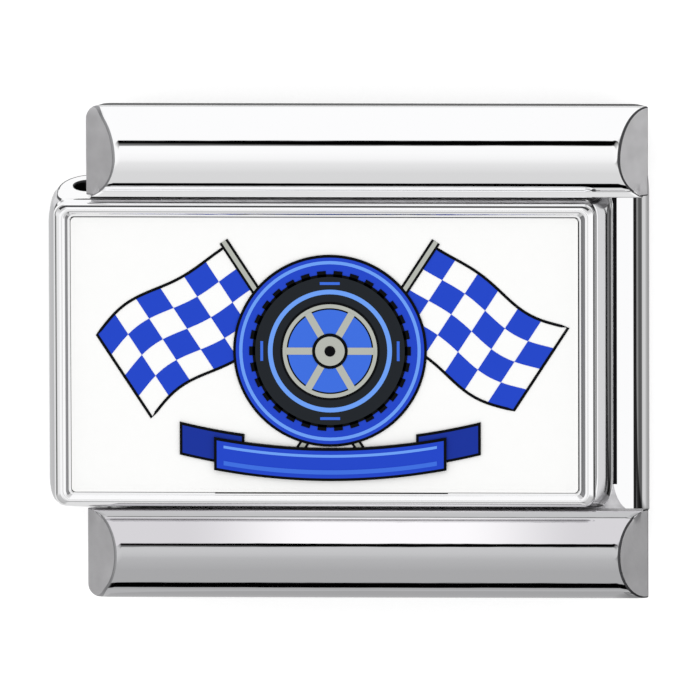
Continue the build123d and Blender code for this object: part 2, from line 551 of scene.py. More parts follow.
def placed(piece: Piece, node: str) -> Piece:
    """Let a piece stand for its CAD node, on that node's body.

    Args:
        piece: The finished piece.
        node: The CAD node that it replaces.

    Returns:
        The same piece.
    """
    body = next(name for name, nodes in frame["record"]["behaviour"]["bodies"].items() if node in nodes)
    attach(piece, body)
    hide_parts(node)
    return piece


def measures(node: str) -> tuple[Vector, Vector, Vector, Vector]:
    """Lowest and highest corner of a CAD node's box, its middle and half its size."""
    low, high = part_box(node)
    return low, high, (low + high) / 2, (high - low) / 2


@dataclass
class Sleeve:
    """A flattened tube across the bracelet, folded from sheet and open at both ends."""

    node: str
    outward: int  # +1 where its thick wall faces up, -1 where it faces down
    slant: float = 0.0  # how much shorter the outward wall is, at each end
    side: Material | None = None
    relief: Mapping[Point, Point] = field(default_factory=dict)  # rounded corners: see drawn_in()
    relief_width: float = 0.60 * MM  # how far in from the side that rounding reaches
    outward_wall: float = 0.54 * MM
    inward_wall: float = 0.32 * MM
    side_wall: float = 0.45 * MM
    outward_edge: float = 0.38 * MM
    side_flat: float = 0.20 * MM
    slot_flat: float = 0.02 * MM
    lip: float = 0.035 * MM  # rounding of the sheet's cut edge
    lip_border: float = 1.7  # how deep in the wall the cut's flat middle starts, in lips
    lip_finish: Point = (Finish.POLISH, Finish.POLISH)  # at the top end and at the bottom
    longer: Point = (0.0, 0.0)  # how much further its inward and outward walls run at the bottom end
    tucked: float = 0.0  # how far its right side lies in
    side_turn: float = 0.25  # a face counts as a side where its normal's X is more than this, either way
    shade_spread: float = 19.0  # degrees either side of straight inwards that carry painted shade
    ring_spread: float = 0.01 * MM  # the rings near an end lie back by this times 49, 36, 25, 16, 9 and 4
    kept_shade: tuple[float, ...] = (1 / 3, 1 / 6, 0.0, 0.0, 0.0, 0.0)  # share of that painted shade kept at the bottom end's rings

    def build(self) -> list[Piece]:
        """Make the sleeve as one closed ring-shaped skin: outside, mouth, slot, mouth.

        Returns:
            The sleeve, in a list.
        """
        _, _, self.middle, self.half = measures(self.node)
        inward_edge = 2 * self.half.z - self.outward_edge - self.side_flat
        slot_half = self.half.z - (self.outward_wall + self.inward_wall) / 2
        slot_rise = (self.inward_wall - self.outward_wall) / 2
        edges = (self.outward_edge, self.outward_edge, inward_edge, inward_edge)
        self.outer = corner_loop((self.half.x, self.half.z), edges, Steps.DOME)
        slot = corner_loop((self.half.x - self.side_wall, slot_half), (slot_half - self.slot_flat / 2,) * 4,
                           Steps.DOME)
        self.slot = [(x, z + slot_rise) for x, z in slot]
        skin = Skin()
        for end, lip_finish in zip((1, -1), self.lip_finish):
            stations = self.stations(end, lip_finish)
            rings = [self.station(end, *station[:4]) for station in stations]
            kinds = [station[4] for station in stations]
            if end == -1:
                rings, kinds = rings[::-1], [Finish.INSIDE, *kinds[:0:-1]]
            for points, kind in zip(rings, kinds):
                skin.ring(points, kind)
        skin.close(self.outside(self.shade_spread))
        piece = mesh_object(f"dressed_{self.node}", skin.mesh, steels(POLISHED, self.side))
        shade(piece)
        return [placed(piece, self.node)]

    def outside(self, shade_spread: float) -> list[Finish]:
        """Finish of each side of the outside, by the angle it faces.

        Args:
            shade_spread: Degrees either side of straight inwards that carry painted shade.

        Returns:
            The finishes, in the order of the outline's sides.
        """
        return [Finish.INSIDE if abs(angle - 270) < shade_spread else
                Finish.SIDE if abs(math.cos(math.radians(angle))) > self.side_turn else Finish.POLISH
                for angle in facing(self.outer)]

    def stations(self, end: int, lip_finish: Finish) -> list[tuple]:
        """The rings at one end, from the outside over the lip and the cut into the slot.

        Args:
            end: 1 at the top end, -1 at the bottom.
            lip_finish: Finish of the lip.

        Returns:
            For each ring, the outline that it starts from, the other one, how deep it lies in the wall, how
            far it lies back from the end, and the finish of the faces that lead to it.
        """
        turn = [(1 - math.cos(a), 1 - math.sin(a)) for a in quarter(Steps.EDGE)]
        border = [lip_finish if angle > 180 else Finish.POLISH for angle in facing(self.outer)]
        shade_shares = [1.0] * len(self.kept_shade) if end == 1 else self.kept_shade
        stations = [(self.outer, self.slot, 0.0, step ** 2 * self.ring_spread,
                     self.outside(self.shade_spread * share))
                    for step, share in zip(range(len(shade_shares) + 1, 1, -1), shade_shares)]
        near = stations[-1][4]
        stations += [(self.outer, self.slot, into * self.lip, back * self.lip, lip_finish if into else near)
                     for into, back in turn]
        stations += [(self.outer, self.slot, self.lip * self.lip_border, 0.0, border)]
        stations += [(self.slot, self.outer, into * self.lip, back * self.lip,
                      lip_finish if at else Finish.POLISH) for at, (into, back) in enumerate(reversed(turn))]
        return stations

    def station(self, end: int, near: list[Point], far: list[Point], into: float,
                back: float) -> list[Vector]:
        """Points round the sleeve, close to one end.

        Args:
            end: 1 at the top end, -1 at the bottom.
            near: The outline that the points start from, of the outside or of the slot.
            far: The other one.
            into: How deep the points lie in the wall.
            back: How far they lie back from the end.

        Returns:
            The points.
        """
        points = []
        for (near_x, near_z), (far_x, far_z) in zip(near, far):
            share = into / math.hypot(far_x - near_x, far_z - near_z)
            across = near_x + (far_x - near_x) * share
            rise = near_z + (far_z - near_z) * share
            outwards = (rise + self.half.z) / (2 * self.half.z)
            reach = self.half.y - self.slant * outwards - back
            if end == -1:
                reach += self.longer[0] + (self.longer[1] - self.longer[0]) * outwards
            if near is self.outer:
                across -= self.drawn_in(end, across, max(0.0, back - self.lip))
            points.append(self.middle + Vector((across, end * reach, self.outward * rise)))
        return points

    def drawn_in(self, end: int, across: float, back: float) -> float:
        """How far a point of the outside is drawn in by the rounding of its corner, seen from the front.

        The relief gives a corner's depth and length by its end and its side, each 1 or -1.

        Args:
            end: 1 at the top end, -1 at the bottom.
            across: The point's distance from the sleeve's middle line, to the right.
            back: How far it lies back from the end, past the lip.

        Returns:
            The distance, to the left.
        """
        side = 1 if across > 0 else -1
        depth, length = self.relief.get((end, side), (0.0, 1.0))
        beyond = max(0.0, 1 - back / length)
        outermost = max(0.0, 1 - (self.half.x - abs(across)) / self.relief_width)
        return side * outermost * (depth * (1 - math.sqrt(1 - beyond ** 2)) + self.tucked * (side == 1))


class Stretch(Enum):
    """The stretches of the frame's section, from its foot to the bottom of the pocket."""

    WALL = "outer wall"
    OUTER_SLOPE = "lower part of the bead's outer slope"
    BEAD = "bead, and the flats inside it"
    INNER_SLOPE = "upper part of the bead's inner slope"
    STEP = "lower part of that slope, and the round at its foot"
    POCKET_EDGE = "edge of the pocket"


@dataclass
class FaceFrame:
    """The tray soldered on the front sleeve: a round bead and a low inner ledge round the pocket."""

    node: str = "face_frame"
    corner: float = 0.22 * MM
    pocket_corner: float = 0.08 * MM
    rim: Point = (0.30 * MM, 0.25 * MM)  # at the sides, and at the ends
    slope: float = 38.0  # degrees, of the bead's outer and inner face
    slope_width: float = 0.06 * MM
    slope_break: float = 0.45  # share of the slope that lies above the line between its two finishes
    outer_round: float = 0.10 * MM  # between the wall and the outer face
    top_round: float = 0.043 * MM
    bead_top: float = 0.012 * MM
    inner_round: float = 0.03 * MM  # between the inner face and the ledge
    flare: float = 0.03 * MM  # how far the solder at the foot of the long walls stands out
    flare_height: float = 0.10 * MM  # how high up the wall it does so
    flare_end: float = 0.13 * MM  # where it has run out
    pocket: float = 0.30 * MM
    pocket_edge: float = 0.014 * MM  # bevel of the pocket's edge
    seam: float = 0.06 * MM  # how far the solder seam runs down on to the sleeve
    long_wall: float = 0.7  # a wall counts as long where its normal's Y is more than this, either way

    def face(self, steep_round: float) -> list[Point]:
        """One face of the bead, from its steep foot up to its top.

        Args:
            steep_round: Radius of the round at its foot.

        Returns:
            Its points: distance in and rise.
        """
        foot, slope = math.radians(90), math.radians(self.slope)
        turns = [foot + (slope - foot) * step / Steps.EDGE for step in range(Steps.EDGE + 1)]
        points = [(steep_round * (1 - math.sin(turned)), steep_round * math.cos(turned)) for turned in turns]
        for share in (1 - self.slope_break, self.slope_break):
            across, rise = points[-1]
            points.append((across + share * self.slope_width,
                           rise + share * self.slope_width * math.tan(slope)))
        across, rise = points.pop()
        points += [(across + self.top_round * (math.sin(slope) - math.sin(turned)),
                    rise + self.top_round * (math.cos(turned) - math.cos(slope)))
                   for turned in (slope * (1 - step / Steps.EDGE) for step in range(Steps.EDGE + 1))]
        return points

    def profile(self, height: float) -> list[tuple[float, float, Stretch]]:
        """The rim's section, from its foot over the bead to the bottom of the pocket.

        Args:
            height: The frame's height.

        Returns:
            Its points: inset, rise and the stretch that ends there.
        """
        outer, inner = self.face(self.outer_round), self.face(self.inner_round)
        width, tall = outer[-1][0] + self.bead_top + inner[-1][0], inner[-1][1]
        slope = Steps.EDGE + 1  # the point of a face that ends the lower part of its slope
        points = [(0.0, rise, Stretch.WALL) for rise in (-self.seam, self.flare_height, self.flare_end)]
        for at, (across, rise) in enumerate(outer):
            stretch = Stretch.WALL if at == 0 else Stretch.OUTER_SLOPE if at == slope else Stretch.BEAD
            points.append((across, height - outer[-1][1] + rise, stretch))
        for at, (across, rise) in reversed(list(enumerate(inner))):
            stretch = Stretch.BEAD if at > slope else Stretch.INNER_SLOPE if at == slope else Stretch.STEP
            points.append((width - across, height - tall + rise, stretch))
        mean_rim = sum(self.rim) / 2
        return points + [(mean_rim - self.pocket_edge, height - tall, Stretch.BEAD),
                         (mean_rim, height - tall - self.pocket_edge, Stretch.POCKET_EDGE),
                         (mean_rim, height - self.pocket, Stretch.BEAD)]

    def finishes(self, half: Vector) -> dict[Stretch, Finishes]:
        """Finish of each stretch, by the side of the frame that it runs along.

        Args:
            half: Half the frame's size.

        Returns:
            For each stretch a finish, or one for each side of its rings.
        """
        outline = corner_loop((half.x, half.y), (self.corner,) * 4)
        angles = [math.radians(angle) for angle in facing(outline)]
        long = [abs(math.sin(angle)) > self.long_wall for angle in angles]
        top = [along and math.sin(angle) > 0 for along, angle in zip(long, angles)]
        line = [Finish.EDGE if upper else Finish.POLISH for upper in top]
        # EDGE and SOFT_EDGE are painted shade lines, on the top side and the short sides
        return {
            Stretch.WALL: [Finish.POLISH if upper else Finish.GROUND if along else Finish.EDGE
                           for upper, along in zip(top, long)],
            Stretch.OUTER_SLOPE: line,
            Stretch.BEAD: Finish.POLISH,
            Stretch.INNER_SLOPE: [Finish.POLISH if along or math.cos(angle) < 0 else Finish.SOFT_EDGE
                                  for along, angle in zip(long, angles)],
            Stretch.STEP: [Finish.POLISH if along else Finish.SOFT_EDGE for along in long],
            Stretch.POCKET_EDGE: line,
        }

    def build(self) -> list[Piece]:
        """Make the tray from rounded rectangles that follow the rim's section.

        Returns:
            The tray, in a list.
        """
        low, high, middle, half = measures(self.node)
        mean_rim = sum(self.rim) / 2
        finishes = self.finishes(half)
        skin = Skin()
        for inset, rise, stretch in self.profile(high.z - low.z):
            share = inset / mean_rim
            flare = self.flare if inset == 0.0 and rise <= self.flare_height else 0.0
            size = (half.x - share * self.rim[0], half.y - share * self.rim[1] + flare)
            radius = self.corner + share * (self.pocket_corner - self.corner)
            outline = corner_loop(size, (radius,) * 4)
            skin.ring([(middle.x + x, middle.y + y, low.z + rise) for x, y in outline], finishes[stretch])
        skin.cap(0, Finish.INSIDE)
        skin.cap(-1, Finish.INSIDE)
        piece = mesh_object(f"dressed_{self.node}", skin.mesh, steels(BEAD))
        shade(piece)
        return [placed(piece, self.node)]


@dataclass
class EnamelPanel:
    """The enamel in the tray: poured, so that it creeps up the rim a little all round."""

    node: str = "enamel_panel"
    corner: float = 0.08 * MM
    creep: float = 0.02 * MM  # height of the meniscus
    creep_width: float = 0.10 * MM

    def build(self) -> list[Piece]:
        """Make the panel, its flat middle a little below its edge.

        Returns:
            The panel, in a list.
        """
        low, high, middle, half = measures(self.node)
        profile = [(0.0, low.z), (0.0, high.z)]
        for step in range(1, 2 * Steps.EDGE + 1):
            share = step / (2 * Steps.EDGE)
            profile.append((share * self.creep_width, high.z - self.creep * (1 - (1 - share) ** 2)))
        skin = Skin()
        for inset, height in profile:
            skin.ring([(middle.x + x, middle.y + y, height) for x, y in
                       corner_loop((half.x - inset, half.y - inset), (self.corner,) * 4)])
        skin.cap(0)
        skin.cap(-1)
        piece = mesh_object(f"dressed_{self.node}", skin.mesh, (WHITE,))
        shade(piece)
        return [placed(piece, self.node)]


@dataclass
class LeafSpring:
    """A strip of spring steel, bowed so that its ends press on the bows' legs."""

    node: str
    outward: int  # +1 where its middle is the higher part, -1 where its ends are
    thickness: float = 0.07 * MM

    def build(self) -> list[Piece]:
        """Bend the strip along an arc between its ends.

        Returns:
            The strip, in a list.
        """
        _, _, middle, half = measures(self.node)
        rise = 2 * half.z - self.thickness
        growth = Growth(f"dressed_{self.node}", {
            "Reach": half.y - 2 * self.thickness * rise / half.y,
            "Foot": middle.z - self.outward * rise / 2, "Rise": self.outward * rise,
            "Middle": middle.x, "Width": 2 * half.x, "Thickness": self.thickness})
        size = growth.size
        # The arc's middle handle stands twice as high as the arc
        top = growth.add("ShaderNodeMath", {0: size["Rise"], 1: 2.0, 2: size["Foot"]},
                         operation="MULTIPLY_ADD")
        back = growth.add("ShaderNodeMath", {0: size["Reach"], 1: -1.0}, operation="MULTIPLY")
        ends = [growth.add("ShaderNodeCombineXYZ", {"X": size["Middle"], "Y": across, "Z": height})
                for across, height in ((back, size["Foot"]), (0.0, top), (size["Reach"], size["Foot"]))]
        arc = growth.add("GeometryNodeCurveQuadraticBezier", {
            "Resolution": int(Steps.DOME), "Start": ends[0], "Middle": ends[1], "End": ends[2]})
        upright = growth.add("GeometryNodeSetCurveNormal", {"Curve": arc}, mode="Z_UP")
        strip = growth.add("GeometryNodeCurvePrimitiveQuadrilateral", {
            "Width": size["Width"], "Height": size["Thickness"]})
        bent = growth.add("GeometryNodeCurveToMesh", {
            "Curve": upright, "Profile Curve": strip, "Fill Caps": True})
        piece = growth.piece(bent, SPRING)
        shade(piece)
        return [placed(piece, self.node)]


@dataclass
class Bow:
    """A rail with a domed front and the legs behind it that reach into both sleeves."""

    node: str
    side: int  # +1 at the top edge of the bracelet, -1 at the bottom
    # On the low rail both carry painted shade, and polish a painted highlight near the middle
    polish: Material
    outer_polish: Material
    outer_limit: float = 100.3  # degrees round the dome, up to which the outer polish reaches: on the low rail it carries painted shade
    rail_width: float = 1.64 * MM
    dome: float = 0.53 * MM
    back_edge: float = 0.40 * MM
    bevel: float = 0.53 * MM
    end_taper: float = 0.25 * MM
    flank_taper: float = 0.34 * MM
    lean: float = 0.30 / 1.40  # of the inner flank, in y for each z
    end_corners: Point = (0.24 * MM, 0.03 * MM)  # rounding of the outer corner, at the left and right end
    apex_inwards: float = 0.0  # how far the dome's highest line lies towards the face
    ledge: float = 58.0  # degrees down the dome's inner side, where a flat ledge takes over
    ledge_flat: float = 2.8  # width of the ledge's flat stretch, in edges
    ledge_climb: Point = (0.12, 0.22)  # rise at the flat's inner end and where the dome goes on, in edges
    ledge_room: Point = (2.0, 0.3)  # how far the dome's rows stay below and above the ledge, in edges
    polish_limit: float = 68.0  # degrees round the dome, where its polish gives way to the brushed flank with its painted shade
    inner_flank: Point = (179.0, 270.0)  # degrees round the section, between which it is ground
    roll_off: Point = (0.012 * MM, 0.14 * MM)  # depth and length of the polish's fall towards the ends
    roll_rings: tuple[float, ...] = (1.0, 0.85, 0.7, 0.55, 0.4)  # shares of that length
    roll_end: float = 0.6  # share of that depth at the arris
    leg_span: float = 7.50 * MM
    leg_thickness: float = 0.28 * MM
    leg_corner: float = 0.25 * MM
    leg_heights: Point = (0.48 * MM, 1.56 * MM)  # undersides, above the back of the rail
    notch_width: float = 1.20 * MM
    notch_depth: float = 1.60 * MM
    edge: float = 0.025 * MM

    def build(self) -> list[Piece]:
        """Fuse the rail and its legs.

        Returns:
            The bow, in a list.
        """
        low, high, self.middle, self.half = measures(self.node)
        self.outer = high.y if self.side == 1 else -low.y
        self.tip = low.y if self.side == 1 else -high.y
        self.back, self.foot = low.z, high.z - self.dome
        legs = [edge_rounded(self.leg(height, notch), self.edge)
                for height, notch in zip(self.leg_heights, (0.0, self.notch_width))]
        piece = united(f"dressed_{self.node}", [self.rail(), *legs])
        shade(piece)
        return [placed(piece, self.node)]

    def rows(self) -> list[tuple[float, float, float]]:
        """The rail's section, in rows from its back up to the dome.

        Returns:
            For each row, the places of its inner and outer flank and its height.
        """
        centre, half_width = self.outer - self.rail_width / 2, self.rail_width / 2
        tall = self.foot - self.back
        centre -= self.apex_inwards
        outer_half, inner_half = half_width + self.apex_inwards, half_width - self.apex_inwards
        rows = []
        for angle in quarter(Steps.CORNER // 2):
            rise = self.back_edge * (1 - math.cos(angle))
            outer = self.outer - self.flank_taper * (1 - rise / tall)
            outer -= self.back_edge * (1 - math.sin(angle))
            rows.append((self.outer - self.rail_width + self.lean * (tall - rise), outer, self.back + rise))
        turned = math.radians(90 - self.ledge)
        inner, ledge = centre - inner_half * math.cos(turned), self.dome * math.sin(turned)
        under, over = self.ledge_room
        for angle in quarter(Steps.DOME)[:-1]:
            rise = self.dome * math.sin(angle)
            outer = centre + outer_half * math.cos(angle)
            if rise < ledge - under * self.edge:
                rows.append((self.outer - self.rail_width, outer, self.foot + rise))
            elif rise > ledge + over * self.edge:
                rows.append((centre - inner_half * math.cos(angle), outer, self.foot + rise))
        steps = [(self.outer - self.rail_width + self.edge * (1 - math.cos(a)),
                  ledge - self.edge * (1 - math.sin(a))) for a in quarter(Steps.EDGE)]
        steps += [(steps[-1][0] + self.ledge_flat * self.edge, ledge + self.ledge_climb[0] * self.edge),
                  (inner, ledge + self.ledge_climb[1] * self.edge)]
        below = sum(row[2] < self.foot + ledge for row in rows)
        rows[below:below] = [
            (across, centre + outer_half * math.sqrt(1 - (rise / self.dome) ** 2), self.foot + rise)
            for across, rise in steps]
        return rows

    def rail(self) -> Piece:
        """The bar: its section swept along X, with rounded arrises, and its cut ends.

        Returns:
            The bar.
        """
        rows = self.rows()
        apex = (self.outer - self.rail_width / 2 - self.apex_inwards, self.foot + self.dome)
        section = [(outer, rise) for _, outer, rise in rows] + [apex]
        section += [(inner, rise) for inner, _, rise in reversed(rows)]
        sides = [self.finish_of(angle) for angle in facing(section)]
        count = len(section)
        inward = []
        for at in range(count):
            along = Vector(section[(at + 1) % count]) - Vector(section[at - 1])
            inward.append(Vector((-along.y, along.x)).normalized())
        depth, length = self.roll_off
        stops = [(depth * (1 - share) ** 2, length * share) for share in self.roll_rings]
        stops += [(depth * self.roll_end + self.edge * (1 - math.cos(a)), self.edge * (1 - math.sin(a)))
                  for a in quarter(Steps.EDGE)]
        plain = len(stops) - Steps.EDGE
        skin = Skin()
        for way in (-1, 1):
            rings = [[self.end_point(way, *(Vector(point) + normal * into), back)
                      for point, normal in zip(section, inward)] for into, back in stops]
            # Painted shade lines round the arris: dark at the right end, mid-grey at the left
            arris = Finish.EDGE if way == 1 else Finish.SOFT_EDGE
            kinds = [sides] * plain + [arris] * Steps.EDGE
            if way == -1:
                rings, kinds = rings[:0:-1], [arris] * (Steps.EDGE + 1) + [sides] * (plain - 2)
            for points, kind in zip(rings, kinds):
                skin.ring(points, kind)
        self.cap(skin, skin.rings[0], -1, len(rows))
        self.cap(skin, skin.rings[-1], 1, len(rows))
        return mesh_object("rail", skin.mesh, steels(self.polish, FLANK, self.outer_polish))

    def finish_of(self, angle: float) -> Finish:
        """Finish of the side of the section that faces an angle.

        Args:
            angle: Degrees, 90 being up and 0 outwards.

        Returns:
            The finish.
        """
        top, back = self.inner_flank
        if angle > back or angle < 90 - self.polish_limit:
            return Finish.SIDE
        if angle > top:
            return Finish.GROUND
        return Finish.OUTER if angle < self.outer_limit else Finish.POLISH

    def cap(self, skin: Skin, rim: list[Vertex], way: int, height: int) -> None:
        """Close an end with rows of faces from the outer flank to the inner one.

        Args:
            skin: The rail's skin.
            rim: The ring that the cut closes.
            way: -1 at the left end, 1 at the right.
            height: How many rows the section has below its apex.
        """
        shares = [math.sin(math.pi / 2 * step / Steps.CORNER) for step in range(1, Steps.CORNER)]
        # The left cut end gets satin a shade darker: painted shade
        cut = Finish.GROUND if way == 1 else Finish.SHADED_SATIN
        grid = []
        for row in range(height):
            outer, inner = rim[row], rim[-1 - row]
            line = [inner]
            for share in shares:
                place = inner.co.lerp(outer.co, share)
                line.append(skin.mesh.verts.new(self.end_point(way, self.side * place.y, place.z, 0.0)))
            grid.append([*line, outer])
        for lower, upper in zip(grid, grid[1:]):
            for at in range(len(lower) - 1):
                face = skin.mesh.faces.new((lower[at], lower[at + 1], upper[at + 1], upper[at]))
                face.material_index = cut
        top = rim[height]
        for at in range(len(grid[-1]) - 1):
            skin.mesh.faces.new((grid[-1][at], grid[-1][at + 1], top)).material_index = cut

    def end_point(self, way: int, across: float, rise: float, back: float) -> Vector:
        """A point at or near the rail's end.

        Args:
            way: -1 at the left end, 1 at the right.
            across: Distance from the bracelet's middle line.
            rise: Height.
            back: How far it lies back from the end.

        Returns:
            The point, on the bow's own edge of the bracelet.
        """
        if rise < self.foot:
            inset = self.end_taper * (self.foot - rise) / (self.foot - self.back)
        else:
            sideways = (across - self.outer) / (self.rail_width / 2) + 1
            arch = math.sqrt(max(0.0, 1 - sideways ** 2))
            inset = self.bevel * min((rise - self.foot) / self.dome, arch)
        corner = self.end_corners[way > 0]
        beyond = min(max(0.0, across - (self.outer - corner)), corner)
        inset += corner - math.sqrt(corner ** 2 - beyond ** 2)
        return Vector((self.middle.x + way * (self.half.x - inset - back), self.side * across, rise))

    def leg(self, height: float, notch: float) -> Piece:
        """A flat leg with rounded tips, and a notch between two tongues where the width is given.

        Args:
            height: Its underside, above the back of the rail.
            notch: The notch's width, or 0 for none.

        Returns:
            The leg.
        """
        root = self.outer - self.rail_width / 2
        half = self.leg_span / 2
        outline = [(-half, root)]
        if notch:
            deep = self.tip + self.notch_depth
            outline += self.tips(-half, -notch / 2) + [(-notch / 2, deep), (notch / 2, deep)]
            outline += self.tips(notch / 2, half)
        else:
            outline += self.tips(-half, half)
        outline += [(half, root)]
        under = self.back + height
        skin = Skin()
        for level in (under, under + self.leg_thickness):
            skin.ring([(self.middle.x + x, self.side * y, level) for x, y in outline])
        skin.cap(0)
        skin.cap(-1)
        return mesh_object("leg", skin.mesh, steels(self.polish, FLANK, self.outer_polish))

    def tips(self, left: float, right: float) -> list[Point]:
        """Outline of one tongue's end.

        Args:
            left: Place of the tongue's left side.
            right: Place of its right side.

        Returns:
            The outline's points, from left to right.
        """
        radius = self.leg_corner
        turns = quarter(Steps.EDGE)
        points = [(left + radius * (1 - math.cos(a)), self.tip + radius * (1 - math.sin(a))) for a in turns]
        return points + [(right - radius * (1 - math.sin(a)), self.tip + radius * (1 - math.cos(a)))
                         for a in turns]


@dataclass
class Emblem:
    """The motif printed on the enamel: a racing wheel on a roundel, two chequered flags and a ribbon.

    Each ink is a thin layer with straight edges, and later inks lie on earlier ones. A layer's number
    is how many layers lie under its top.
    """

    node: str = "enamel_panel"
    body: str = "front_half"
    shift: Point = (0.10 * MM, -0.08 * MM)
    sink: float = 0.028 * MM  # how far below the top of the enamel's edge the first ink starts
    layer: float = 0.005 * MM
    line: float = 0.05 * MM
    pole_tilt: float = 33.0
    pole: Point = (3.42 * MM, 1.45 * MM)  # above and below the place where the poles cross
    pole_tip: float = 0.10 * MM  # how far a pole stands out above its flag
    pole_widths: Point = (0.17 * MM, 0.08 * MM)  # of its black outline and its grey core
    crossing: float = -0.80 * MM
    flag: Point = (2.85 * MM, 1.80 * MM)
    flag_steps: int = 24  # points along a flag's edge
    cells: tuple[int, int] = (6, 4)
    cell_cuts: tuple[int, int, int] = (6, 3, 2)  # vertices along, across and through a cell
    cell_layers: int = 3  # how many layers thick it is
    wave: Point = (0.15 * MM, 2.6 * MM)  # depth and length
    roundel: float = 1.70 * MM
    roundel_line: Point = (0.93, 0.965)  # radii of the thin ring near its edge, as shares of its own
    round_steps: int = 96  # points round a ring
    hub_height: float = 0.16 * MM
    tyre: float = 1.40 * MM
    pinhole: float = 0.004 * MM  # in the middle of each disc
    treads: int = 30
    spokes: int = 6
    marks: int = 4
    ribbon: Point = (2.05 * MM, 0.50 * MM)
    ribbon_foot: float = -2.16 * MM
    ribbon_curl: float = 0.045 / MM  # rise for each square of the distance from the middle
    ribbon_steps: int = 32
    stripe_reach: float = 0.94  # of the ribbon's own
    tail_foot: float = -2.02 * MM
    tail: Point = (0.45 * MM, 0.62 * MM)  # how far a tail reaches in and out from the ribbon's end

    def build(self) -> list[Piece]:
        """Print every ink.

        Returns:
            The chequers, the wheel's repeated blocks and one piece for each ink.
        """
        low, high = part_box(self.node)
        self.origin = Vector(((low.x + high.x) / 2 + self.shift[0], (low.y + high.y) / 2 + self.shift[1],
                              high.z - self.sink))
        self.inks = {ink: bmesh.new() for ink in Ink}
        self.paint = {ink: ink.value.material() for ink in Ink}
        pieces = [self.chequers(side) for side in (-1, 1)]
        for side in (-1, 1):
            self.flag_lines(side)
        pieces += self.wheel()
        self.ribbon_bands()
        pieces += [mesh_object(f"emblem_{ink.name.lower()}", mesh, (self.paint[ink],))
                   for ink, mesh in self.inks.items()]
        for piece in pieces:
            shade(piece)
            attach(piece, self.body)
        return pieces

    def band(self, ink: Ink, left: Sequence[Point], right: Sequence[Point], layer: int,
             closed: bool = False) -> None:
        """Print a strip between two lines.

        Args:
            ink: The ink.
            left: Points of one line.
            right: As many points of the other.
            layer: Its layer.
            closed: Whether the strip runs round in a ring.
        """
        bm, tops = self.inks[ink], self.layer * (layer + 1)
        rows = [[bm.verts.new(self.origin + Vector((x, y, rise)))
                 for (x, y), rise in ((one, 0.0), (one, tops), (other, tops), (other, 0.0))]
                for one, other in zip(left, right)]
        for here, after in zip(rows, [*rows[1:], rows[0]] if closed else rows[1:]):
            for at in range(4):
                bm.faces.new((here[at], here[(at + 1) % 4], after[(at + 1) % 4], after[at]))
        if not closed:
            bm.faces.new(rows[0])
            bm.faces.new(rows[-1])

    def ring(self, ink: Ink, radii: Point, layer: int) -> None:
        """Print a ring round the hub, or a disc where its inner radius is next to nothing.

        Args:
            ink: The ink.
            radii: The inner radius and the outer one.
            layer: Its layer.
        """
        turns = [math.tau * step / self.round_steps for step in range(self.round_steps)]
        inner, outer = ([(radius * math.cos(a), self.hub_height + radius * math.sin(a)) for a in turns]
                        for radius in radii)
        self.band(ink, inner, outer, layer, closed=True)

    def stroke(self, ink: Ink, path: Sequence[Point], width: float, layer: int,
               closed: bool = False) -> None:
        """Print a line along a path.

        Args:
            ink: The ink.
            path: The path's points.
            width: The line's width.
            layer: Its layer.
            closed: Whether the path runs back to its start.
        """
        left, right = [], []
        count = len(path)
        for at, point in enumerate(path):
            before = path[at - 1] if closed or at else path[0]
            after = path[(at + 1) % count] if closed or at < count - 1 else path[-1]
            along = (Vector(after) - Vector(before)).normalized()
            aside = Vector((-along.y, along.x)) * width / 2
            left.append(tuple(Vector(point) + aside))
            right.append(tuple(Vector(point) - aside))
        self.band(ink, left, right, layer, closed)

    def on_pole(self, side: int, reach: float) -> Point:
        """A point of a pole, from its distance above the place where the poles cross."""
        tilt = math.radians(self.pole_tilt)
        return side * reach * math.sin(tilt), self.crossing + reach * math.cos(tilt)

    def hoist(self, side: int) -> tuple[Vector, float]:
        """Middle of a flag's edge at its pole, and the direction in which the flag flies."""
        way = math.radians(-self.pole_tilt if side == 1 else 180 + self.pole_tilt)
        return Vector(self.on_pole(side, self.pole[0] - self.flag[1] / 2)), way

    def flag_point(self, side: int, along: float, across: float) -> Point:
        """A point of a flag.

        Args:
            side: -1 for the left flag, 1 for the right.
            along: Its share of the cloth's length, from the pole.
            across: Its share of the cloth's height.

        Returns:
            The point.
        """
        middle, way = self.hoist(side)
        depth, length = self.wave
        flown = Vector((along * self.flag[0], (across - 0.5) * self.flag[1]))
        flown.y += depth * along * math.sin(math.tau * flown.x / length)
        return tuple(middle + Matrix.Rotation(way, 2) @ flown)

